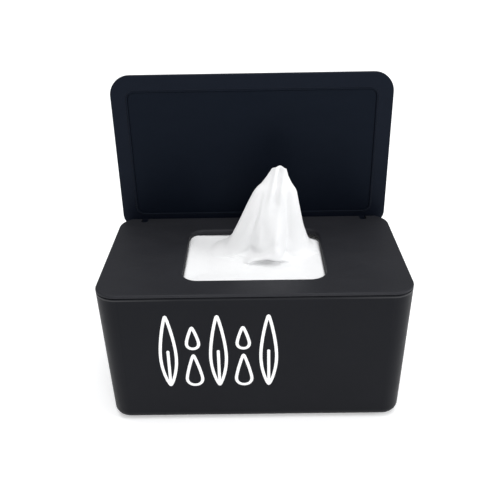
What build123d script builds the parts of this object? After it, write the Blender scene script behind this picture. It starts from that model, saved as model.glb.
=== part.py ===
from build123d import *
import os

os.makedirs("parts", exist_ok=True)

# Countertop wipes dispenser: an open tub on four pads, a top frame with an
# aperture that lifts off for refilling, and a flip lid hinged at the frame's
# rear edge, modelled standing open.
# Millimetres. +X to the right, +Y to the rear, +Z up, floor at Z = 0.

# Tub
box_width = 190.0          # at the rim
box_depth = 110.0          # at the rim
corner_radius = 14.0       # upright corners, seen from above
tub_height = 92.2          # underside to rim
tub_draft = 1.75           # degrees that each wall leans in towards the bottom
tub_wall = 2.2
base_round = 5.5           # wall to underside
rim_round = 0.7            # outer edge of the rim

# Feet
foot_radius = 8.0
foot_thickness = 1.6
foot_proud = 0.8           # height that a foot lifts the tub
foot_inset = 25.0          # foot centre in from the rim's outline
foot_gap = 0.3             # around a foot in its recess
foot_round = 0.4

# Top frame
seam_gap = 0.5             # shadow gap between the rim and the frame's edge
seam_depth = 1.0           # how far in that gap reaches
edge_height = 1.5          # the frame's own edge above the gap
edge_round = 1.2
skirt_depth = 9.0          # how far the skirt reaches down inside the tub
skirt_wall = 1.8
skirt_gap = 0.35           # between the skirt and the tub wall
skirt_lead = 0.8           # chamfer that guides the skirt in
aperture_width = 88.0
aperture_depth = 69.0
aperture_shift = -2.3      # aperture centre from the tub centre, towards the front
aperture_radius = 10.0
collar_depth = 4.0         # aperture wall, from the plate's top down
collar_wall = 1.8
lip_round = 1.6            # upper edge of the aperture
collar_round = 0.5         # lower edge of the aperture

# Hinge
hinge_edge = 16.7          # middle of each arm in from the side of the box
hinge_inset = 3.65         # pin axis in from the rear face
hinge_drop = 3.85          # pin axis below the plate's top
pin_radius = 1.2
pin_chamfer = 0.3
pin_press = 0.02           # interference of the pin in the frame's bores
pin_play = 0.06            # radial clearance of the arms on the pins
pin_recess = 0.5           # pin end below the block's side
arm_radius = 2.3           # eye of the arm around the pin
arm_width = 4.0
arm_gap = 0.5              # beside and around the arm in its slot
slot_ahead = 1.6           # slot left open in front of the arm
slot_round = 2.0           # front corners of the slot
block_wall = 3.5           # frame material on each side of the slot
block_drop = 4.2           # below the pin axis
block_back = 1.0           # in front of the slot
notch_gap = 0.4            # around the hinge block in the tub's rim
sweep_gap = 0.25           # lid face to the frame's rear edge as it swings

# Lid
lid_margin = 0.5           # lid edge inside the plate's edge, front and sides
lid_overhang = 0.5         # closed lid beyond the rear face
lid_gap = 0.4              # closed lid above the plate
lid_thickness = 4.0
lid_heel_radius = 10.0     # plan radius of the two corners by the hinge
lid_outer_round = 1.8
lid_inner_round = 0.6
liner_border = 10.0        # lid edge to the seal groove
liner_radius = 6.0
liner_recess = 0.2         # liner below the lid's inner face
liner_round = 0.3
pocket_depth = 2.2
groove_width = 1.4
seal_side_gap = 0.1
seal_touch_gap = 0.05      # seal to plate when the lid is closed
seal_round = 0.4

# Wipes
stack_gap = 7.8            # between the stack and the tub wall at the rim
stack_radius = 5.0
stack_round = 3.0
stack_below_collar = 1.0   # top of the stack under the aperture's collar
tuft_place = (11.0, 10.0)  # middle of the pulled wipe's base from the aperture's centre
tuft_sections = (          # height above the stack, lean to the right, width and depth
    (0.0, -1.0, 62.0, 32.0),
    (20.0, -0.3, 42.0, 22.0),
    (37.0, 1.5, 32.0, 16.0),
    (50.0, 4.5, 18.0, 10.0),
    (61.0, 6.0, 9.0, 5.0),
)

# Heights and places that follow from the sizes above
rim_z = foot_proud + tub_height
edge_z = rim_z + seam_gap
plate_z = edge_z + edge_height
lid_face_gap = hinge_drop + lid_gap - hinge_inset
body_y = -(lid_face_gap + lid_thickness) / 2
rear_y = body_y + box_depth / 2
axis_y = rear_y - hinge_inset
axis_z = plate_z - hinge_drop
lid_face_y = rear_y + lid_face_gap
lid_width = box_width - 2 * lid_margin
lid_length = box_depth - lid_margin + lid_overhang
lid_low_z = axis_z - hinge_inset - lid_overhang
lid_mid_z = lid_low_z + lid_length / 2
slot_width = arm_width + 2 * arm_gap
slot_reach = arm_radius + arm_gap
slot_front_y = axis_y - slot_reach - slot_ahead
block_width = slot_width + 2 * block_wall
block_depth = hinge_inset + slot_reach + slot_ahead + block_back
block_low_z = axis_z - block_drop
hinge_x = box_width / 2 - hinge_edge
hinge_places = {"left": -hinge_x, "right": hinge_x}
block_places = [(x, box_depth / 2) for x in hinge_places.values()]
sweep_radius = hinge_drop + lid_gap - sweep_gap
skirt_out = tub_wall + skirt_gap
skirt_in = skirt_out + skirt_wall
pocket_width = lid_width - 2 * liner_border
pocket_length = lid_length - 2 * liner_border
aperture_y = body_y + aperture_shift
stack_width = box_width - 2 * (tub_wall + stack_gap)
stack_depth = box_depth - 2 * (tub_wall + stack_gap)
stack_top_z = plate_z - collar_depth - stack_below_collar
foot_x = box_width / 2 - foot_inset
foot_y = box_depth / 2 - foot_inset


def level(z):
    """Horizontal plane at height z, centred on the tub."""
    return Plane((0, body_y, z))


lid_plane = Plane((0, lid_face_y, lid_mid_z), x_dir=(1, 0, 0), z_dir=(0, -1, 0))


# Tub: tapered open box with a pocket for each foot and a notch for each hinge block
with BuildPart() as tub:
    with BuildSketch(level(rim_z)):
        RectangleRounded(box_width, box_depth, corner_radius)
    extrude(amount=-tub_height, taper=tub_draft)
    fillet(tub.faces().sort_by(Axis.Z)[0].edges(), radius=base_round)
    fillet(tub.faces().sort_by(Axis.Z)[-1].edges(), radius=rim_round)
    with BuildSketch(level(rim_z)):
        RectangleRounded(
            box_width - 2 * tub_wall, box_depth - 2 * tub_wall, corner_radius - tub_wall
        )
    extrude(amount=tub_wall - tub_height, taper=tub_draft, mode=Mode.SUBTRACT)
    floor_face = tub.faces().filter_by(Plane.XY).sort_by(Axis.Z)[1]
    fillet(floor_face.edges(), radius=base_round - tub_wall)
    with BuildSketch(level(foot_proud)):
        with GridLocations(2 * foot_x, 2 * foot_y, 2, 2):
            Circle(foot_radius + foot_gap)
    extrude(amount=foot_thickness - foot_proud, mode=Mode.SUBTRACT)
    with BuildSketch(level(rim_z)):
        with Locations(*block_places):
            Rectangle(block_width + 2 * notch_gap, 2 * block_depth)
    extrude(amount=block_low_z - notch_gap - rim_z, mode=Mode.SUBTRACT)
tub.part.label = "tub"
export_step(tub.part, "parts/tub.step")


# Feet: soft pads glued into the pockets
foot_places = {
    "foot_front_left": (-foot_x, -foot_y),
    "foot_front_right": (foot_x, -foot_y),
    "foot_rear_left": (-foot_x, foot_y),
    "foot_rear_right": (foot_x, foot_y),
}
for foot_name, (x, y) in foot_places.items():
    with BuildPart(Plane((x, body_y + y, 0))) as foot:
        Cylinder(foot_radius, foot_thickness, align=(Align.CENTER, Align.CENTER, Align.MIN))
        fillet(foot.faces().sort_by(Axis.Z)[0].edges(), radius=foot_round)
    foot.part.label = foot_name
    export_step(foot.part, f"parts/{foot_name}.step")


# Top frame: plate, skirt inside the tub, collar round the aperture and hinge blocks
with BuildPart() as top_frame:
    with BuildSketch(level(rim_z)):
        RectangleRounded(
            box_width - 2 * seam_depth, box_depth - 2 * seam_depth, corner_radius - seam_depth
        )
    extrude(amount=seam_gap)
    with BuildSketch(level(edge_z)):
        RectangleRounded(box_width, box_depth, corner_radius)
    extrude(amount=edge_height)
    fillet(top_frame.faces().sort_by(Axis.Z)[-1].edges(), radius=edge_round)

    with BuildSketch(level(rim_z)):
        RectangleRounded(
            box_width - 2 * skirt_out, box_depth - 2 * skirt_out, corner_radius - skirt_out
        )
    extrude(amount=-skirt_depth, taper=tub_draft)
    chamfer(top_frame.faces().sort_by(Axis.Z)[0].edges(), length=skirt_lead)
    with BuildSketch(level(rim_z)):
        RectangleRounded(
            box_width - 2 * skirt_in, box_depth - 2 * skirt_in, corner_radius - skirt_in
        )
    extrude(amount=-skirt_depth, taper=tub_draft, mode=Mode.SUBTRACT)

    with BuildSketch(level(rim_z)):
        with Locations(*block_places):
            Rectangle(block_width, 2 * block_depth)
        RectangleRounded(box_width, box_depth, corner_radius, mode=Mode.INTERSECT)
    extrude(amount=block_low_z - rim_z, taper=tub_draft)

    with BuildSketch(Plane((0, aperture_y, plate_z))):
        RectangleRounded(
            aperture_width + 2 * collar_wall,
            aperture_depth + 2 * collar_wall,
            aperture_radius + collar_wall,
        )
    extrude(amount=-collar_depth)
    with BuildSketch(Plane((0, aperture_y, plate_z))):
        RectangleRounded(aperture_width, aperture_depth, aperture_radius)
    extrude(amount=-collar_depth, mode=Mode.SUBTRACT)
    plate_face = top_frame.faces().sort_by(Axis.Z)[-1]
    fillet(plate_face.inner_wires()[0].edges(), radius=lip_round)
    collar_end = (0, aperture_y + (aperture_depth + collar_wall) / 2, plate_z - collar_depth)
    collar_face = top_frame.faces().sort_by_distance(collar_end)[0]
    fillet(collar_face.inner_wires()[0].edges(), radius=collar_round)

    # rear edge rounded about the pin axis, so that the lid's face swings past it
    with BuildSketch(Plane.YZ):
        with Locations((axis_y, axis_z)):
            Rectangle(2 * sweep_radius, 2 * sweep_radius, align=(Align.MIN, Align.MIN))
            Circle(sweep_radius, mode=Mode.SUBTRACT)
    extrude(amount=box_width / 2, both=True, mode=Mode.SUBTRACT)

    for x in hinge_places.values():
        # slot for the lid's arm, open to the rear and the top
        with BuildSketch(Plane.XY.offset(axis_z - slot_reach)):
            with Locations((x, slot_front_y)):
                Rectangle(slot_width, 2 * block_depth, align=(Align.CENTER, Align.MIN))
            fillet(vertices().group_by(Axis.Y)[0], radius=slot_round)
        extrude(amount=2 * block_depth, mode=Mode.SUBTRACT)
        # bore through both sides of the block
        with BuildSketch(Plane.YZ.offset(x)):
            with Locations((axis_y, axis_z)):
                Circle(pin_radius - pin_press)
        extrude(amount=block_width / 2, both=True, mode=Mode.SUBTRACT)
top_frame.part.label = "top_frame"
export_step(top_frame.part, "parts/top_frame.step")


# Hinge pins: one through each block and the arm inside it
for side, x in hinge_places.items():
    with BuildPart() as pin:
        with BuildSketch(Plane.YZ.offset(x)):
            with Locations((axis_y, axis_z)):
                Circle(pin_radius)
        extrude(amount=block_width / 2 - pin_recess, both=True)
        chamfer(pin.edges().filter_by(GeomType.CIRCLE), length=pin_chamfer)
    pin.part.label = f"hinge_pin_{side}"
    export_step(pin.part, f"parts/hinge_pin_{side}.step")


# Flip lid: outer shell with a pocket for the liner and two hinge arms
with BuildPart() as flip_lid:
    with BuildSketch(lid_plane):
        Rectangle(lid_width, lid_length)
        fillet(vertices().group_by(Axis.Y)[-1], radius=corner_radius - lid_margin)
        fillet(vertices().group_by(Axis.Y)[0], radius=lid_heel_radius)
    extrude(amount=-lid_thickness)
    fillet(flip_lid.faces().sort_by(Axis.Y)[-1].edges(), radius=lid_outer_round)
    fillet(flip_lid.faces().sort_by(Axis.Y)[0].edges(), radius=lid_inner_round)
    with BuildSketch(lid_plane):
        RectangleRounded(pocket_width, pocket_length, liner_radius)
    extrude(amount=-pocket_depth, mode=Mode.SUBTRACT)
    for x in hinge_places.values():
        with BuildSketch(Plane.YZ.offset(x)):
            with Locations((axis_y, axis_z)):
                Circle(arm_radius)
                Rectangle(
                    lid_face_y + lid_thickness / 2 - axis_y,
                    2 * arm_radius,
                    align=(Align.MIN, Align.CENTER),
                )
        extrude(amount=arm_width / 2, both=True)
        with BuildSketch(Plane.YZ.offset(x)):
            with Locations((axis_y, axis_z)):
                Circle(pin_radius + pin_play)
        extrude(amount=arm_width / 2, both=True, mode=Mode.SUBTRACT)
flip_lid.part.label = "flip_lid"
export_step(flip_lid.part, "parts/flip_lid.step")


# Lid liner: flat panel in the pocket, a groove's width inside its wall
with BuildPart() as lid_liner:
    with BuildSketch(lid_plane.offset(-pocket_depth)):
        RectangleRounded(
            pocket_width - 2 * groove_width,
            pocket_length - 2 * groove_width,
            liner_radius - groove_width,
        )
    extrude(amount=pocket_depth - liner_recess)
    fillet(lid_liner.faces().sort_by(Axis.Y)[0].edges(), radius=liner_round)
lid_liner.part.label = "lid_liner"
export_step(lid_liner.part, "parts/lid_liner.step")


# Lid seal: soft bead in that groove, just proud of the lid's face
with BuildPart() as lid_seal:
    with BuildSketch(lid_plane.offset(-pocket_depth)):
        RectangleRounded(
            pocket_width - 2 * seal_side_gap,
            pocket_length - 2 * seal_side_gap,
            liner_radius - seal_side_gap,
        )
        RectangleRounded(
            pocket_width - 2 * groove_width + 2 * seal_side_gap,
            pocket_length - 2 * groove_width + 2 * seal_side_gap,
            liner_radius - groove_width + seal_side_gap,
            mode=Mode.SUBTRACT,
        )
    extrude(amount=pocket_depth + lid_gap - seal_touch_gap)
    fillet(lid_seal.faces().sort_by(Axis.Y)[0].edges(), radius=seal_round)
lid_seal.part.label = "lid_seal"
export_step(lid_seal.part, "parts/lid_seal.step")


# Wipes: the folded stack fills the tub, and the pulled one stands up through the aperture
with BuildPart() as wipe_stack:
    with BuildSketch(level(foot_proud + tub_wall)):
        RectangleRounded(stack_width, stack_depth, stack_radius)
    extrude(amount=stack_top_z - foot_proud - tub_wall)
    fillet(wipe_stack.faces().sort_by(Axis.Z)[-1].edges(), radius=stack_round)
    fillet(wipe_stack.faces().sort_by(Axis.Z)[0].edges(), radius=stack_round)
wipe_stack.part.label = "wipe_stack"
export_step(wipe_stack.part, "parts/wipe_stack.step")

with BuildPart() as pulled_wipe:
    for rise, lean, width, depth in tuft_sections:
        place = (tuft_place[0] + lean, aperture_y + tuft_place[1], stack_top_z + rise)
        with BuildSketch(Plane(place)):
            RectangleRounded(width, depth, depth / 3)
    loft()
pulled_wipe.part.label = "pulled_wipe"
export_step(pulled_wipe.part, "parts/pulled_wipe.step")
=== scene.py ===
import random
from math import atan2, cos, exp, hypot, pi, radians, sin, tan

import bmesh
import bpy
from mathutils import Matrix, Vector


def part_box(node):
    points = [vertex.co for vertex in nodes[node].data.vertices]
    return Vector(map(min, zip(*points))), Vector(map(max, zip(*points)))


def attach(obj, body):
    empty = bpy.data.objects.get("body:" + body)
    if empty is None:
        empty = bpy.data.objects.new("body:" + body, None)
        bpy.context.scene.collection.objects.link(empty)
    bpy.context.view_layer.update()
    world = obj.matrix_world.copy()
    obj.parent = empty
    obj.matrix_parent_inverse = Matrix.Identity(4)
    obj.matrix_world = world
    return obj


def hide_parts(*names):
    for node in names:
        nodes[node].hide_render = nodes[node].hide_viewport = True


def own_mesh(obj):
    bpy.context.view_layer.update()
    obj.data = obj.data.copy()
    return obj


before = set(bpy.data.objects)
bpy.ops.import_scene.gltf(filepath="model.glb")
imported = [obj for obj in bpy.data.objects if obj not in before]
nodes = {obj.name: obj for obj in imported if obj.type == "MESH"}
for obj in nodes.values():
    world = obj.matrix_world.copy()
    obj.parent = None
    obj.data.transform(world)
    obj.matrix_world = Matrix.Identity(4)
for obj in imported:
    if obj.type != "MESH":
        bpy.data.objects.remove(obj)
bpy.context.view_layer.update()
scene = bpy.context.scene
mm = 0.001
print("frame loaded,", len(nodes), "nodes")


# camera at the height of someone standing at the counter, sizes in millimetres
camera = {
    "place": (1.05, -385.24, 293.65),
    "lens": 47.66,
    "sensor": 36.0,
    "pitch": 27.33,
    "yaw": 0.54,
    "roll": -1.07,
}


def addCamera(c):
    data = bpy.data.cameras.new("camera")
    data.lens = c["lens"]
    data.sensor_width = c["sensor"]
    data.clip_start = 0.01
    obj = bpy.data.objects.new("camera", data)
    scene.collection.objects.link(obj)
    tilt = Matrix.Rotation(radians(90 - c["pitch"]), 4, "X")
    turn = Matrix.Rotation(radians(c["yaw"]), 4, "Z")
    roll = Matrix.Rotation(radians(c["roll"]), 4, "Z")
    obj.matrix_world = Matrix.Translation(Vector(c["place"]) * mm) @ turn @ tilt @ roll
    scene.camera = obj


addCamera(camera)


# soft studio light: place and size in metres, power in watts, all aimed at the middle of the part
lampAim = (0, 0, 0.09)
lamps = {
    "top": {"place": (0.0, 0.25, 2.5), "size": (2.8, 2.8), "power": 54.5, "colour": (1.0, 1.0, 1.0)},
    "front": {"place": (0.3, -1.9, 1.15), "size": (1.3, 0.9), "power": 18.0, "colour": (1.0, 1.0, 1.0)},
    "right": {"place": (1.9, -0.5, 0.9), "size": (0.9, 0.9), "power": 19.0, "colour": (0.98, 0.99, 1.0)},
    "left": {"place": (-1.9, -0.8, 1.1), "size": (0.9, 0.9), "power": 6.0, "colour": (1.0, 0.99, 0.98)},
}
sky = {"colour": (0.95, 0.97, 1.0, 1.0), "strength": 0.28, "seen": (1.0, 1.0, 1.0, 1.0)}


def addLamp(name, l):
    data = bpy.data.lights.new(name, "AREA")
    data.shape = "RECTANGLE"
    data.size, data.size_y = l["size"]
    data.energy = l["power"]
    data.color = l["colour"]
    obj = bpy.data.objects.new(name, data)
    scene.collection.objects.link(obj)
    aim = Vector(lampAim) - Vector(l["place"])
    obj.matrix_world = Matrix.Translation(l["place"]) @ aim.to_track_quat("-Z", "Y").to_matrix().to_4x4()


for name, l in lamps.items():
    addLamp(name, l)
world = bpy.data.worlds.new("studio")
scene.world = world
world.use_nodes = True
# the dim sky lights the part, and the camera sees a white one past the counter's edge
skyNodes = world.node_tree.nodes
skyLinks = world.node_tree.links
skyNodes["Background"].inputs["Color"].default_value = sky["colour"]
skyNodes["Background"].inputs["Strength"].default_value = sky["strength"]
seenSky = skyNodes.new("ShaderNodeBackground")
seenSky.inputs["Color"].default_value = sky["seen"]
choice = skyNodes.new("ShaderNodeMixShader")
skyLinks.new(skyNodes.new("ShaderNodeLightPath").outputs["Is Camera Ray"], choice.inputs["Fac"])
skyLinks.new(skyNodes["Background"].outputs["Background"], choice.inputs[1])
skyLinks.new(seenSky.outputs["Background"], choice.inputs[2])
skyLinks.new(choice.outputs["Shader"], skyNodes["World Output"].inputs["Surface"])
scene.view_settings.view_transform = "Standard"
print("camera and lights set")


class Value:
    # a socket that adds a Math node when it is used in a sum
    def __init__(self, finish, socket):
        self.finish = finish
        self.socket = socket

    def math(self, operation, *others):
        return self.finish.add("ShaderNodeMath", {"operation": operation}, dict(enumerate((self, *others))))

    def __add__(self, other):
        return self.math("ADD", other)

    def __sub__(self, other):
        return self.math("SUBTRACT", other)

    def __mul__(self, other):
        return self.math("MULTIPLY", other)

    def __rsub__(self, other):
        return self.finish.add("ShaderNodeMath", {"operation": "SUBTRACT"}, {0: other, 1: self})

    __radd__ = __add__
    __rmul__ = __mul__


class Finish:
    # a material on the Principled shader, whose fixed sockets are set when it is made
    def __init__(self, name, **fixed):
        self.material = bpy.data.materials.new(name)
        self.material.use_nodes = True
        self.tree = self.material.node_tree
        self.shader = self.tree.nodes["Principled BSDF"]
        for socket, value in fixed.items():
            self.shader.inputs[socket.replace("_", " ")].default_value = value

    def add(self, kind, settings=None, sockets=None, out=0):
        node = self.tree.nodes.new(kind)
        for key, value in (settings or {}).items():
            setattr(node, key, value)
        for key, value in (sockets or {}).items():
            if isinstance(value, Value):
                self.tree.links.new(value.socket, node.inputs[key])
            else:
                node.inputs[key].default_value = value
        return Value(self, node.outputs[out])

    def feed(self, **sockets):
        for socket, value in sockets.items():
            self.tree.links.new(value.socket, self.shader.inputs[socket.replace("_", " ")])

    def place(self, stretch=(1, 1, 1), turn=(0, 0, 0), uv=False):
        # object coordinates in metres, or the piece's own flat-cut coordinates
        spot = self.add("ShaderNodeTexCoord", out="UV" if uv else "Object")
        return self.add("ShaderNodeMapping", None, {"Vector": spot, "Scale": stretch, "Rotation": turn})

    def noise(self, spot, scale, detail=2.0, rough=0.5):
        return self.add(
            "ShaderNodeTexNoise", None, {"Vector": spot, "Scale": scale, "Detail": detail, "Roughness": rough}
        )

    def span(self, value, low, high, toLow, toHigh):
        ends = {"Value": value, "From Min": low, "From Max": high, "To Min": toLow, "To Max": toHigh}
        return self.add("ShaderNodeMapRange", None, ends)

    def blend(self, share, a, b, way="MIX"):
        # two colours through a Mix node
        mix = {"data_type": "RGBA", "blend_type": way}
        return self.add("ShaderNodeMix", mix, {"Factor": share, 6: a, 7: b}, out=2)

    def bump(self, height, distance, strength=1.0, below=None):
        sockets = {"Height": height, "Distance": distance, "Strength": strength}
        if below:
            sockets["Normal"] = below
        return self.add("ShaderNodeBump", None, sockets)


def edgeMask(f, radius, low, high):
    # 1 along outside and inside edges, 0 on the open faces
    soft = f.add("ShaderNodeBevel", {"samples": 4}, {"Radius": radius})
    true = f.add("ShaderNodeNewGeometry", out="True Normal")
    dot = f.add("ShaderNodeVectorMath", {"operation": "DOT_PRODUCT"}, {0: soft, 1: true}, out="Value")
    return f.span(1 - dot, low, high, 0.0, 1.0)


# how much paler an edge is, partly rubbed wear and partly painted highlight, and depth how deep the grain is
# in millimetres
satin = {
    "tub": {
        "colour": (0.0054, 0.0058, 0.0076, 1), "rough": 0.44, "gloss": 0.11, "tint": (0.90, 0.92, 1.0, 1),
        "edgeWearAndHighlight": 0.055, "grain": 3000, "depth": 0.010,
        # painted highlight on the rim just under the frame, heights and x in metres, stronger towards the
        # corners
        "rimHighlight": {
            "low": 0.0915, "high": 0.0921, "fade": 0.0003,
            "from": 0.045, "to": 0.088, "share": (0.16, 0.65),
        },
    },
    "frame": {
        "colour": (0.0160, 0.0164, 0.0196, 1), "rough": 0.50, "gloss": 0.19, "tint": (0.93, 0.95, 1.0, 1),
        "edgeWearAndHighlight": 0.009, "grain": 3000, "depth": 0.010,
    },
    "lid": {
        "colour": (0.0027, 0.0037, 0.0075, 1), "rough": 0.40, "gloss": 0.14, "tint": (0.62, 0.76, 1.0, 1),
        "edgeWearAndHighlight": 0.009, "grain": 3200, "depth": 0.009,
    },
    "liner": {
        "colour": (0.0021, 0.0031, 0.0064, 1), "rough": 0.46, "gloss": 0.12, "tint": (0.58, 0.74, 1.0, 1),
        "edgeWearAndHighlight": 0.002, "grain": 2300, "depth": 0.014,
    },
}
# scales of the marks that all the moulded pieces share, and the radius of a pale edge in metres, partly rubbed
# wear and partly painted highlight
mould = {"flow": 38, "smear": 75, "edgePatches": 160, "fleck": 900, "edge": 0.0009}


def rimHighlightLine(f, spot, c):
    # a painted highlight: a pale line along the rim just under the frame's edge, where the rim's rounded edge
    # would catch the light, strongest near the corners
    along, height = (f.add("ShaderNodeSeparateXYZ", None, {"Vector": spot}, out=o) for o in (0, 2))
    rise = f.span(height, c["low"] - c["fade"], c["low"], 0.0, 1.0)
    fall = f.span(height, c["high"], c["high"] + c["fade"], 1.0, 0.0)
    return rise * fall * f.span(along.math("ABSOLUTE"), c["from"], c["to"], *c["share"])


def satinPlastic(name, s, m):
    # moulded ABS: a fine eroded grain, uneven sheen from the mould, and paler edges that are partly rubbed
    # wear and partly painted highlight
    f = Finish(name + "Satin", Specular_IOR_Level=s["gloss"], Specular_Tint=s["tint"])
    spot = f.place()
    grain = f.noise(spot, s["grain"], 2.0, 0.55)
    flow = f.noise(f.place(stretch=(1, 1.6, 1)), m["flow"], 3.0, 0.5)
    smear = f.noise(f.place(stretch=(0.35, 1, 1.4), turn=(0.3, 0.2, 0.5)), m["smear"], 4.0, 0.62)
    fleck = f.noise(spot, m["fleck"], 1.0)
    # paler along the edges: partly rubbed wear, partly painted highlight where edges would catch the light
    wearAndHighlight = edgeMask(f, m["edge"], 0.02, 0.22) * f.span(f.noise(spot, m["edgePatches"], 3.0), 0.35, 0.7, 0.25, 1.0)
    # the tub also gets the painted highlight line along its rim
    if "rimHighlight" in s:
        wearAndHighlight = wearAndHighlight.math("MAXIMUM", rimHighlightLine(f, spot, s["rimHighlight"]))
    tone = f.blend(f.span(flow, 0.3, 0.7, 0.0, 1.0), [c * 0.9 for c in s["colour"][:3]] + [1], s["colour"])
    edgeWearAndHighlight = [c + s["edgeWearAndHighlight"] for c in s["colour"][:3]] + [1]
    f.feed(Base_Color=f.blend(wearAndHighlight, tone, edgeWearAndHighlight))
    sheen = f.span(smear, 0.35, 0.7, -0.035, 0.045) + f.span(flow, 0.3, 0.7, -0.02, 0.02)
    f.feed(Roughness=s["rough"] + sheen + f.span(fleck, 0.3, 0.7, -0.03, 0.03) - wearAndHighlight * 0.07)
    f.feed(Normal=f.bump(grain, s["depth"] * mm, 0.5))
    return f.material


silicone = {
    "seal": {"colour": (0.0024, 0.0034, 0.0064, 1), "rough": 0.6, "gloss": 0.13, "tint": (0.62, 0.76, 1.0, 1)},
    "foot": {"colour": (0.030, 0.030, 0.032, 1), "rough": 0.66, "gloss": 0.35, "tint": (1, 1, 1, 1)},
}


def siliconeRubber(name, s):
    # matt silicone with a dusty bloom
    f = Finish(name + "Silicone", Specular_IOR_Level=s["gloss"], Specular_Tint=s["tint"])
    spot = f.place()
    bloom = f.span(f.noise(spot, 240, 4.0, 0.6), 0.35, 0.75, 0.0, 1.0)
    f.feed(Base_Color=f.blend(bloom, s["colour"], [c * 1.7 for c in s["colour"][:3]] + [1]))
    f.feed(Roughness=bloom * 0.12 + s["rough"])
    f.feed(Normal=f.bump(f.noise(spot, 2600, 2.0), 0.02 * mm, 0.5))
    return f.material


def drawnSteel(name):
    # stainless wire: draw marks run along the pin
    f = Finish(name, Metallic=1.0)
    lines = f.noise(f.place(stretch=(0.04, 1, 1)), 6000, 3.0, 0.6)
    f.feed(Base_Color=f.blend(lines, (0.50, 0.50, 0.51, 1), (0.68, 0.68, 0.69, 1)))
    f.feed(Roughness=f.span(lines, 0.2, 0.8, 0.26, 0.44))
    f.feed(Normal=f.bump(lines, 0.006 * mm, 0.6))
    return f.material


# white where the wipe is thick, greyer where it is thin, and in metres from y to y darker to the front:
# painted shade where more light falls than at the rear under the lid
wipeTone = {
    "thick": (0.90, 0.902, 0.906, 1),
    "thin": (0.83, 0.833, 0.84, 1),
    "frontShade": 0.85,
    "from": -0.002,
    "to": 0.028,
}


def wipeCloth(name, uv, w):
    # damp spunlace: tangled fibres, a fine embossed lattice and slightly uneven thickness
    f = Finish(name, Specular_IOR_Level=0.3, Sheen_Weight=0.15, Sheen_Roughness=0.5)
    across = f.noise(f.place(stretch=(1, 0.22, 1), turn=(0, 0, 0.5), uv=uv), 2600, 3.0, 0.62)
    along = f.noise(f.place(stretch=(0.22, 1, 1), turn=(0, 0, 0.35), uv=uv), 2600, 3.0, 0.62)
    fibre = across.math("MAXIMUM", along)
    cloud = f.noise(f.place(uv=uv), 210, 3.0, 0.55)
    dots = f.add("ShaderNodeTexVoronoi", None, {"Vector": f.place(uv=uv), "Scale": 620.0, "Randomness": 0.25})
    dent = f.span(dots, 0.0, 0.42, 0.0, 1.0)
    thin = f.span(cloud, 0.3, 0.7, 0.25, 0.0) + f.span(fibre, 0.45, 0.75, 0.25, 0.0)
    cloth = f.blend(thin, w["thick"], w["thin"])
    back = f.add("ShaderNodeSeparateXYZ", None, {"Vector": f.place()}, out=1)
    # painted shade: the cloth multiplied darker, blended in towards the front
    wet = f.blend(1.0, cloth, [w["frontShade"]] * 3 + [1], "MULTIPLY")
    f.feed(Base_Color=f.blend(f.span(back, w["from"], w["to"], 1.0, 0.0), cloth, wet))
    f.feed(Roughness=f.span(cloud, 0.3, 0.7, 0.72, 0.86))
    lattice = f.bump(dent, 0.05 * mm, 0.35)
    f.feed(Normal=f.bump(fibre, 0.05 * mm, 0.45, lattice))
    return f.material


def printInk(name):
    # opaque screen ink, thinner in places
    f = Finish(name, Specular_IOR_Level=0.4)
    spot = f.place()
    pores = f.span(f.noise(spot, 1500, 3.0, 0.6), 0.3, 0.62, 0.0, 1.0)
    f.feed(Base_Color=f.blend(pores, (0.80, 0.80, 0.80, 1), (0.90, 0.90, 0.90, 1)))
    f.feed(Roughness=f.span(pores, 0.0, 1.0, 0.62, 0.46))
    f.feed(Normal=f.bump(f.noise(spot, 2400, 2.0), 0.01 * mm, 0.4))
    return f.material


def dress(node, material):
    # the frame's own mesh stays, its finish is replaced
    slots = nodes[node].data.materials
    slots.clear()
    slots.append(material)


lidSatin = satinPlastic("lid", satin["lid"], mould)
steel = drawnSteel("drawnSteel")
footRubber = siliconeRubber("foot", silicone["foot"])
dress("tub", satinPlastic("tub", satin["tub"], mould))
dress("top_frame", satinPlastic("frame", satin["frame"], mould))
dress("flip_lid", lidSatin)
dress("lid_liner", satinPlastic("liner", satin["liner"], mould))
dress("lid_seal", siliconeRubber("seal", silicone["seal"]))
for side in ("left", "right"):
    dress("hinge_pin_" + side, steel)
    for end in ("front", "rear"):
        dress(f"foot_{end}_{side}", footRubber)
print("frame finished")


def newPiece(name, bm, material, body=None):
    # a finished mesh at the origin, smooth, riding on its body
    mesh = bpy.data.meshes.new(name)
    bm.to_mesh(mesh)
    bm.free()
    mesh.materials.append(material)
    piece = bpy.data.objects.new(name, mesh)
    scene.collection.objects.link(piece)
    mesh.shade_smooth()
    if body:
        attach(piece, body)
    return piece


# pale counter, round so that no corner shows, in metres
floor = {
    "radius": 6.0,
    "sides": 96,
    "glow": 0.25,
    "farGlow": 2.6,         # times brighter where the lamps no longer reach, so that it stays white there
    "from": 0.7,
    "to": 2.1,
}


def paleFloor(name, c):
    f = Finish(name, Specular_IOR_Level=0.2, Emission_Strength=c["glow"])
    away = f.add("ShaderNodeVectorMath", {"operation": "LENGTH"}, {0: f.place()}, out="Value")
    far = f.span(away, c["from"], c["to"], 0.0, 1.0)
    f.feed(Emission_Color=f.blend(far, (1, 1, 1, 1), [c["farGlow"]] * 3 + [1]))
    cloud = f.noise(f.place(), 5.0, 2.0)
    f.feed(Base_Color=f.blend(cloud, (0.93, 0.93, 0.935, 1), (0.95, 0.95, 0.95, 1)))
    f.feed(Roughness=f.span(cloud, 0.3, 0.7, 0.55, 0.7))
    return f.material


bm = bmesh.new()
bmesh.ops.create_circle(bm, cap_ends=True, segments=floor["sides"], radius=floor["radius"])
newPiece("counter", bm, paleFloor("paleFloor", floor))
print("counter laid")


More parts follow.
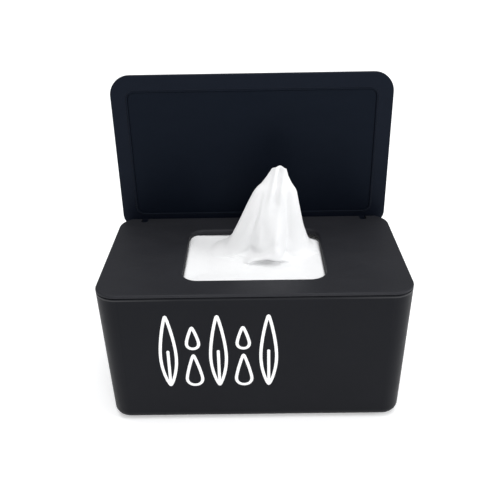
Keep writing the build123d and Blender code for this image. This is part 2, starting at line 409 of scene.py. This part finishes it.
# white screen print on the front: a row of slender leaves and water drops, sizes in millimetres
frontPrint = {
    "stroke": 2.1,
    "relief": 0.06,         # how far the ink stands off the wall
    "low": 27.6,
    "high": 81.4,
    "left": -59.0,
    "right": 14.0,
    "motifs": "ldldl",      # l is a leaf, d a drop with a smaller one falling above it
    "wide": 9.6,
    "vein": 0.5,            # share of a leaf's height
    "drop": 23.0,
    "smallDrop": (7.4, 15.5, 5.0),  # width, height and gap over the large one
    "tipTurn": 0.7,         # how tightly the line turns at a tip
    "leafBelly": (0.42, 0.23),      # where a leaf is widest and how full it is there, as shares of its height
    "dropBelly": (0.52, 0.34, 0.27),    # the same for a drop, as shares of its width, and how flat its foot is
}
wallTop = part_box("tub")[1].z / mm
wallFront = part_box("tub")[0].y / mm
wallDraft = radians(1.75)   # how far the tub's walls lean in


def closedLine(knots):
    # a closed Bezier outline in the XZ plane: each knot is its point and the handle that leads on from it
    data = bpy.data.curves.new("line", "CURVE")
    data.dimensions = "3D"
    data.resolution_u = 14
    spline = data.splines.new("BEZIER")
    spline.bezier_points.add(len(knots) - 1)
    for knot, (x, z, dx, dz) in zip(spline.bezier_points, knots):
        knot.co = (x, 0, z)
        knot.handle_left = (x - dx, 0, z - dz)
        knot.handle_right = (x + dx, 0, z + dz)
    spline.use_cyclic_u = True
    return data


def openLine(x, low, high):
    data = bpy.data.curves.new("line", "CURVE")
    data.dimensions = "3D"
    spline = data.splines.new("POLY")
    spline.points.add(1)
    spline.points[0].co = (x, 0, low, 1)
    spline.points[1].co = (x, 0, high, 1)
    return data


def leafOutline(x, low, high, wide, p):
    at, full = p["leafBelly"]
    half, belly, swell, turn = wide / 2, low + (high - low) * at, (high - low) * full, p["tipTurn"]
    return [(x, high, turn, 0), (x + half, belly, 0, -swell), (x, low, -turn, 0), (x - half, belly, 0, swell)]


def dropOutline(x, low, high, wide, p):
    at, full, foot = p["dropBelly"]
    half, belly, swell, turn = wide / 2, low + wide * at, wide * full, p["tipTurn"]
    sides = (x + half, belly, 0, -swell), (x - half, belly, 0, swell)
    return [(x, high, turn, 0), sides[0], (x, low, -wide * foot, 0), sides[1]]


def inkBead(bm, data, p):
    # the line becomes a round bead, which is pressed flat once all the beads are there
    data.bevel_depth = p["stroke"] / 2
    data.bevel_resolution = 3
    holder = bpy.data.objects.new("line", data)
    scene.collection.objects.link(holder)
    mesh = bpy.data.meshes.new_from_object(holder)
    bm.from_mesh(mesh)
    bpy.data.objects.remove(holder)
    bpy.data.curves.remove(data)
    bpy.data.meshes.remove(mesh)


def roundEnd(bm, x, z, p):
    spot = Matrix.Translation((x, 0, z)) @ Matrix.Rotation(pi / 2, 4, "X")
    bmesh.ops.create_uvsphere(bm, u_segments=20, v_segments=8, radius=p["stroke"] / 2, matrix=spot)


bm = bmesh.new()
p = frontPrint
inset = p["stroke"] / 2
pitch = (p["right"] - p["left"] - p["wide"] - p["stroke"]) / (len(p["motifs"]) - 1)
low, high = p["low"] + inset, p["high"] - inset
for i, kind in enumerate(p["motifs"]):
    x = p["left"] + inset + p["wide"] / 2 + i * pitch
    if kind == "l":
        inkBead(bm, closedLine(leafOutline(x, low, high, p["wide"], p)), p)
        tip = low + (high - low) * p["vein"]
        inkBead(bm, openLine(x, low, tip), p)
        roundEnd(bm, x, tip, p)
    else:
        wide, tall, gap = p["smallDrop"]
        over = low + p["drop"] + gap
        inkBead(bm, closedLine(dropOutline(x, low, low + p["drop"], p["wide"], p)), p)
        inkBead(bm, closedLine(dropOutline(x, over, over + tall, wide, p)), p)
press = Matrix.Diagonal((1, 2 * p["relief"] / p["stroke"], 1, 1))
lean = Matrix.Identity(4)
lean[1][2] = -tan(wallDraft)
wall = Matrix.Translation((0, wallFront + wallTop * tan(wallDraft), 0))
bmesh.ops.transform(bm, matrix=Matrix.Scale(mm, 4) @ wall @ lean @ press, verts=bm.verts)
bmesh.ops.recalc_face_normals(bm, faces=bm.faces)
newPiece("front_print", bm, printInk("printInk"), "tub")
print("front printed")


# pile of folded wipes: each one a soft slab with a round fold at the front or the rear, millimetres
stack = {
    "wipes": 88,
    "play": 0.45,           # how far a wipe lies out of line
    "fold": 0.42,           # how round its fold is, as a share of its thickness
    "fill": 0.97,           # share of its place in the pile that it fills
    "top": 88.5,
    "leafTop": 90.1,        # last leaf, behind the pulled wipe's lower one
    "leafGap": 0.1,         # how far it lies over the pile
    "leafFold": 0.3,        # how round its fold is
    "leafFront": 18.5,      # y that it starts at
    "sink": 8.5,            # how far the pile has given way at its rear right corner
    "seed": 5,
}
stackLow, stackHigh = (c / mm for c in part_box("wipe_stack"))


def foldedWipe(bm, low, high, fold, front):
    # a slab between two corners, rounded along its fold
    part = bmesh.new()
    made = bmesh.ops.create_cube(part, size=1.0)["verts"]
    size = high - low
    bmesh.ops.scale(part, vec=size, verts=made)
    long = [e for e in part.edges if abs(e.verts[0].co.x - e.verts[1].co.x) > size.x / 2]
    folds = [e for e in long if (e.verts[0].co.y < 0) == front]
    offset = size.z * fold
    bmesh.ops.bevel(part, geom=folds, offset=offset, segments=2, profile=0.5, affect="EDGES", material=-1)
    bmesh.ops.translate(part, vec=(low + high) / 2, verts=part.verts)
    mesh = bpy.data.meshes.new("leaf")
    part.to_mesh(mesh)
    part.free()
    bm.from_mesh(mesh)
    bpy.data.meshes.remove(mesh)


bm = bmesh.new()
draw = random.Random(stack["seed"])
thick = (stack["top"] - stackLow.z) / stack["wipes"]
play = stack["play"]
for i in range(stack["wipes"]):
    shift = Vector((draw.uniform(-play, play), draw.uniform(-play, play), 0))
    low = Vector((stackLow.x + play, stackLow.y + play, stackLow.z + thick * i)) + shift
    high = Vector((stackHigh.x - play, stackHigh.y - play, low.z + thick * stack["fill"])) + shift
    foldedWipe(bm, low, high, stack["fold"], i % 2 == 0)
low = Vector((stackLow.x + play, stack["leafFront"], stack["top"] + stack["leafGap"]))
high = Vector((stackHigh.x - play, stackHigh.y - play, stack["leafTop"]))
foldedWipe(bm, low, high, stack["leafFold"], False)
for vert in bm.verts:
    across, back, up = ((c - least) / (most - least) for c, least, most in zip(vert.co, stackLow, stackHigh))
    vert.co.z -= stack["sink"] * across * back * up
bmesh.ops.scale(bm, vec=(mm, mm, mm), verts=bm.verts)
pile = newPiece("folded_wipes", bm, wipeCloth("pileCloth", False, wipeTone), "tub")
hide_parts("wipe_stack")
print("wipes stacked")


# the wipe that is pulled out, millimetres: u runs across its cut, v back from its leading edge
pulled = {
    "cut": (170.0, 180.0),
    "step": 2.0,
    "dense": (61.0, 14.0, 0.45),    # where the grid is finer, over what length and by what share
    "thick": 0.34,
    "rest": 90.35,          # height that it lies at
    "tip": (5.4, 150.5),    # y and z of the pinch
    "footY": 7.5,           # y of the tent's middle at its foot
    "crest": 7.0,           # half the length of leading edge that is in the pinch
    "gather": 0.72,         # the width that it is gathered to there, as a share
    "sag": 2.5,             # how far its ends sag
    "ratio": 0.60,          # depth of the tent over its width
    "square": 2.5,          # 2 is an ellipse
    "base": 25.5,           # radius that the cut wraps round
    "close": 0.98,          # how much of the way round it goes
    "outline": (            # height and half width of the tent
        (150.5, 0.3), (146.0, 1.6), (140.0, 4.3), (135.0, 8.2), (126.0, 10.9), (121.0, 12.3), (116.0, 13.7),
        (111.0, 15.2), (106.0, 16.9), (102.0, 18.3), (98.5, 20.2), (95.0, 22.2), (91.6, 25.8), (90.35, 29.3),
    ),
    "axis": (               # height and x of its middle
        (150.5, 16.5), (140.0, 15.0), (126.0, 12.4), (110.0, 10.2), (90.35, 8.6),
    ),
    "folds": ((-1.1, 0.05, 0.22), (1.9, 0.07, 0.3), (-2.0, 0.07, 0.3)),     # turn, depth, width
    "creases": (            # x and z where it starts and ends, depth, width
        (21.4, 146.0, 23.4, 94.0, 1.6, 1.4),
        (6.2, 142.0, -0.6, 110.0, 0.8, 1.9),
        (13.5, 146.0, 15.5, 122.0, 0.6, 1.8),
        (14.0, 108.0, 13.4, 99.0, -0.7, 1.5),
    ),
    "dents": (              # x, z, depth, half width, half height
        (0.0, 96.2, 2.3, 5.0, 2.6), (19.2, 93.8, 3.0, 2.4, 2.0), (29.5, 104.0, 1.0, 3.0, 9.0),
    ),
    "ripple": (1.8, 0.85, 0.6),     # depth, turn and start of the gathers along the pinched edge
    "lap": 0.45,            # one half of the leading edge lies over the other behind the tent
    "lapTurn": (2.6, 0.3),  # where round the tent that starts and how soon it is reached
    "foldY": -45.5,         # the cut turns under here, below the frame
    "leaf": 0.8,            # how far below the leaf the turned part lies
    "opening": (-44.0, 44.0, -39.1, 29.9),  # the leaf shows from x to x and from y to y
    "swell": 1.7,           # how far the leaf bulges into the opening
    "climb": (1.5, 15.0),   # how much more along its walls, and within what distance of them
    "slack": (0.4, 40.0),   # share of the bulge that is left at the rear wall, and over what distance it fades
    "edge": 1.2,            # distance within which it turns down at the walls
    "tuck": 3.0,            # how far beyond them the coarse cut is down
    "footHigh": 6.0,        # cloth lower than this over the leaf counts as leaf
    "sink": (5.0, 28.0, 35.0, 17.6, 19.8),  # how far it sinks at the rear right, from x to x, from y to y
    "sinkHigh": 18.0,       # height over the leaf at which the tent no longer sinks with it
}
# pleat at the tent's front foot: its lip stands off the leaf and the cloth runs back under it
pleat = {
    "reach": 24.0,          # from the axis
    "at": -0.5,             # x of the lip's middle from the axis, and half its width
    "half": 17.2,
    "high": 4.6,            # how high the lip stands off the leaf and how deep the hollow under it is
    "deep": 9.0,
    "under": ((0.12, 0.8), (0.5, 0.76), (0.8, 0.4), (0.75, 0.0)),   # shape of the hollow, as shares of both
    "toe": 3.0,             # how far the leaf starts in front of the lip
    "ends": 0.5,            # how soon the lip reaches its full reach from either end
    "lean": (0.34, 0.2),    # how soon the face leans out, from the left end and from the right
    "clear": 1.2,           # how far over the lip's crown the tent's own outline ends
    "back": 4.6,            # the face above the lip stands this far behind it
    "brow": 126.0,          # the front face leans out to the lip from this height down
    "arch": ((0.0, 0.0), (0.08, 0.14), (0.28, 0.66), (0.5, 1.0), (0.7, 0.6), (0.86, 0.42), (1.0, 0.0)),
    "crown": ((0.0, 0.0), (0.2, 3.4), (0.45, 7.4), (0.67, 12.0), (0.80, 5.6), (0.89, 2.8), (1.0, 0.0)),
    "spread": 34.0,         # length of leaf that takes up what the pleat uses
}
# the cut is draped larger than life, on a table that lies a little below the leaf, and held near the pinch,
# on the leaf and just round the lip, from so far above it to so far below
drape = {
    "scale": 20.0,
    "frames": 14,
    "gravity": -4.0,
    "gap": 0.012,
    "below": 0.85,
    "table": (600.0, 20.0),     # width and thickness
    "held": 16.0,
    "heldFlat": 1.0,
    "heldLip": (7, 0.5),
}


def ease(share):
    share = max(0.0, min(1.0, share))
    return share * share * (3 - 2 * share)


def readTable(table, at, soft=False):
    # the value at a place, between the table's rows
    for (a, low), (b, high) in zip(table, table[1:]):
        share = (at - a) / (b - a)
        if share <= 1:
            return low + (high - low) * (ease(share) if soft else max(0.0, share))
    return table[-1][1]


def runLengths(line):
    runs = [0.0]
    for a, b in zip(line, line[1:]):
        runs.append(runs[-1] + hypot(b[0] - a[0], b[1] - a[1]))
    return runs


def outlineAt(turn, aside, p, q):
    # the tent's outline in one direction, from the apex down, as distances from the axis and heights
    wide = (abs(sin(turn)) ** p["square"] + abs(cos(turn) / p["ratio"]) ** p["square"]) ** (-1 / p["square"])
    line = [(r * wide, z) for z, r in p["outline"]]
    plain = runLengths(line)[-1]
    across = (aside + q["reach"] * sin(turn) - q["at"]) / (2 * q["half"]) + 0.5
    lip = abs(turn) < pi / 2 and 0 < across < 1
    if lip:
        rise = readTable(q["arch"], across, soft=True)
        high, deep, rest = q["high"] * rise, q["deep"] * rise, p["rest"]
        share = ease((1 - (2 * across - 1) ** 2) / q["ends"])
        crown, back = readTable(q["crown"], across), q["back"] * share
        r = wide * (p["outline"][-1][1] * (1 - share) + q["reach"] / p["ratio"] * share)
        top = rest + crown
        left, right = q["lean"]
        ahead = r - back - wide * readTable(p["outline"], top)
        ahead = ahead * ease(across / left) * ease((1 - across) / right)
        line = [(d + ahead * ease((q["brow"] - z) / (q["brow"] - top)), z) for d, z in line]
        # from the face down over the lip, back under it and out to the leaf
        line = [spot for spot in line if spot[1] > top + q["clear"]] + [
            (r - back, top),
            (r - back * 0.55, top - 0.12 * crown),
            (r - back * 0.1, rest + high + 0.3 * share + 0.15 * (crown - high)),
            (r, rest + high * 0.88 + 0.2 * share),
            *((r - deep * inwards, rest + high * upwards) for inwards, upwards in q["under"]),
            (r + q["toe"] * share, rest),
        ]
    runs = runLengths(line)
    return line, runs, runs[-1] - plain, lip


def leafSwell(x, y, p, fine=False):
    # the pile presses the leaf up into the opening, the most along its walls
    x0, x1, y0, y1 = p["opening"]
    rim = min(x - x0, x1 - x, y - y0)
    least, fade = p["slack"]
    rear = least + (1 - least) * ease((y1 - y) / fade)
    climb, reach = p["climb"]
    swell = (p["swell"] + climb * (1 - ease(rim / reach))) * rear
    rim = min(rim, y1 - y)
    return swell * (ease(rim / p["edge"]) if fine else ease(1 + rim / p["tuck"]))


def leafSink(x, y, z, p):
    # the leaf follows the pile down at the rear right, and the foot of the tent goes with it
    sink, fromX, toX, fromY, toY = p["sink"]
    foot = 1 - ease((z - p["rest"]) / p["sinkHigh"])
    return sink * foot * ease((x - fromX) / (toX - fromX)) * ease((y - fromY) / (toY - fromY))


def pressIn(x, z, p):
    # depth of the creases and dents on the tent's front
    depth = 0.0
    for x0, z0, x1, z1, deep, wide in p["creases"]:
        along = (z0 - z) / (z0 - z1)
        ends = min(1.0, max(0.0, (along + 0.1) * 6), max(0.0, (1.1 - along) * 3))
        depth += deep * ends * exp(-(((x - (x0 + (x1 - x0) * along)) / wide) ** 2))
    for x0, z0, deep, wide, high in p["dents"]:
        depth += deep * exp(-(((x - x0) / wide) ** 2) - ((z - z0) / high) ** 2)
    return depth


def tentPoint(u, v, p, q, d):
    # where a point of the flat cut goes, and whether the drape holds it there
    across = max(-p["crest"], min(p["crest"], u))
    rho, way = hypot(u - across, v), atan2(u - across, v)
    turn = 2 * way
    for _ in range(6):      # the way round depends on the outline and the outline on the way round
        line, runs, extra, lip = outlineAt(turn, across, p, q)
        past = max(0.0, rho - runs[-1])
        turn = way * p["close"] * (max(rho, runs[-1]) - extra) / (p["base"] + past)
    rest, tipZ = p["rest"], p["tip"][1]
    held = rho < d["held"] or past > d["heldFlat"]
    if past > 0:
        r, z = line[-1][0] + past + extra * 0.8 * ease(past / q["spread"]), rest
    else:
        i = next(i for i, run in enumerate(runs[1:]) if rho <= run)
        share = (rho - runs[i]) / max(1e-6, runs[i + 1] - runs[i])
        r = line[i][0] + (line[i + 1][0] - line[i][0]) * share
        z = line[i][1] + (line[i + 1][1] - line[i][1]) * share
        above, below = d["heldLip"]
        held = held or (lip and runs[-9] - above < rho < runs[-5] + below)
    up = (z - rest) / (tipZ - rest)
    middle = readTable(p["axis"], z) + across * (p["gather"] + (1 - p["gather"]) * (1 - up))
    if up > 0.008:
        fold = sum(deep * exp(-(((turn - at) / wide) ** 2)) for at, deep, wide in p["folds"])
        r *= 1 - fold * sin(pi * min(1.0, up * 0.9 + 0.08))
        if abs(turn) < pi / 2:
            r -= pressIn(middle + r * sin(turn), z, p)
    x = middle + r * sin(turn)
    y = p["footY"] + (p["tip"][0] - p["footY"]) * up - r * cos(turn)
    deep, twist, start = p["ripple"]
    y += deep * sin(across * twist + start) * max(0.0, up * 1.6 - 0.6)
    z += leafSwell(x, y, p) * (1 - up) ** 2 - p["sag"] * (across / p["crest"]) ** 2 * up**3
    start, soon = p["lapTurn"]
    z += p["lap"] * ease((turn - start) / soon)
    if y < p["foldY"]:
        y, z = 2 * p["foldY"] - y, z - p["leaf"]
    return Vector((x, y, z)), held


def cutSheet(p):
    # the flat cut as a grid, with its own coordinates kept as the UV map
    bm = bmesh.new()
    across, down = (round(c / p["step"]) for c in p["cut"])
    bmesh.ops.create_grid(bm, x_segments=across, y_segments=down, size=0.5)
    size = Matrix.Diagonal((p["cut"][0], p["cut"][1], 1, 1))
    bmesh.ops.transform(bm, matrix=size @ Matrix.Translation((0, -0.5, 0)), verts=bm.verts)
    centre, reach, share = p["dense"]
    for vert in bm.verts:
        back = vert.co.y + centre
        vert.co.y -= share * back * exp(-((back / reach) ** 2))
    uv = bm.loops.layers.uv.new("cut")
    for face in bm.faces:
        for loop in face.loops:
            loop[uv].uv = loop.vert.co.xy * mm
    return bm


def drapeSheet(mesh, flat, held, p, d):
    # cloth at a larger scale, whose rest shape is the flat cut: the tent's sides settle into their own creases
    big = mm * d["scale"]
    sheet = bpy.data.objects.new("draping", mesh)
    scene.collection.objects.link(sheet)
    sheet.shape_key_add(name="Basis")
    key = sheet.shape_key_add(name="flat")
    for point, co in zip(key.data, flat):
        point.co = co * big
    sheet.vertex_groups.new(name="held").add(held, 1.0, "REPLACE")
    bm = bmesh.new()
    wide, thick = d["table"]
    under = Matrix.Translation((0, 0, (p["rest"] - d["below"] - thick / 2) * big))
    slab = Matrix.Diagonal((wide * big, wide * big, thick * big, 1))
    bmesh.ops.create_cube(bm, size=1.0, matrix=under @ slab)
    table = newPiece("table", bm, pile.data.materials[0])
    table.modifiers.new("collision", "COLLISION")
    table.collision.thickness_outer = 0.005
    table.collision.cloth_friction = 20.0
    table.collision.damping = 0.5
    cloth = sheet.modifiers.new("cloth", "CLOTH")
    cloth.point_cache.frame_end = d["frames"]
    wet = cloth.settings
    wet.rest_shape_key = key
    wet.vertex_group_mass = "held"
    wet.quality = 8
    wet.mass = 0.3
    wet.air_damping = 1.5
    wet.tension_stiffness = wet.compression_stiffness = 20.0
    wet.shear_stiffness = 8.0
    wet.bending_stiffness = 1.0
    wet.tension_damping = wet.compression_damping = wet.shear_damping = 5.0
    touch = cloth.collision_settings
    touch.distance_min = touch.self_distance_min = d["gap"]
    touch.use_self_collision = True
    touch.collision_quality = 3
    pull = scene.gravity.copy()
    scene.gravity = (0, 0, d["gravity"])
    for frameNumber in range(1, d["frames"] + 1):
        scene.frame_set(frameNumber)
    done = bpy.data.meshes.new_from_object(sheet.evaluated_get(bpy.context.evaluated_depsgraph_get()))
    scene.frame_set(1)
    scene.gravity = pull
    bpy.data.objects.remove(sheet)
    bpy.data.objects.remove(table)
    return done


def refine(bm, p):
    # halves the grid, then the leaf turns down steeply where it meets the walls of the opening
    mesh = bpy.data.meshes.new("refined")
    bm.to_mesh(mesh)
    bm.free()
    sheet = bpy.data.objects.new("refined", mesh)
    scene.collection.objects.link(sheet)
    sheet.modifiers.new("smooth", "SUBSURF").levels = 1
    mesh = bpy.data.meshes.new_from_object(sheet.evaluated_get(bpy.context.evaluated_depsgraph_get()))
    bpy.data.objects.remove(sheet)
    bm = bmesh.new()
    bm.from_mesh(mesh)
    bpy.data.meshes.remove(mesh)
    for vert in bm.verts:
        x, y, z = vert.co / mm
        if z < p["rest"] + p["footHigh"]:
            vert.co.z += (leafSwell(x, y, p, fine=True) - leafSwell(x, y, p)) * mm
        vert.co.z -= leafSink(x, y, z, p) * mm
    return bm


bm = cutSheet(pulled)
flat = [vert.co.copy() for vert in bm.verts]
held = []
big = mm * drape["scale"]
for i, vert in enumerate(bm.verts):
    spot, fixed = tentPoint(vert.co.x, -vert.co.y, pulled, pleat, drape)
    vert.co = spot * big
    if fixed:
        held.append(i)
mesh = bpy.data.meshes.new("draping")
bm.to_mesh(mesh)
bm.free()
mesh = drapeSheet(mesh, flat, held, pulled, drape)
bm = bmesh.new()
bm.from_mesh(mesh)
bpy.data.meshes.remove(mesh)
bmesh.ops.scale(bm, vec=[1 / drape["scale"]] * 3, verts=bm.verts)
bm = refine(bm, pulled)
wipe = newPiece("pulled_wipe_cloth", bm, wipeCloth("wipeCloth", True, wipeTone), "tub")
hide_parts("pulled_wipe")
thickness = wipe.modifiers.new("thickness", "SOLIDIFY")
thickness.thickness = pulled["thick"] * mm
thickness.offset = 0
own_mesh(wipe)
print("wipe pulled up")
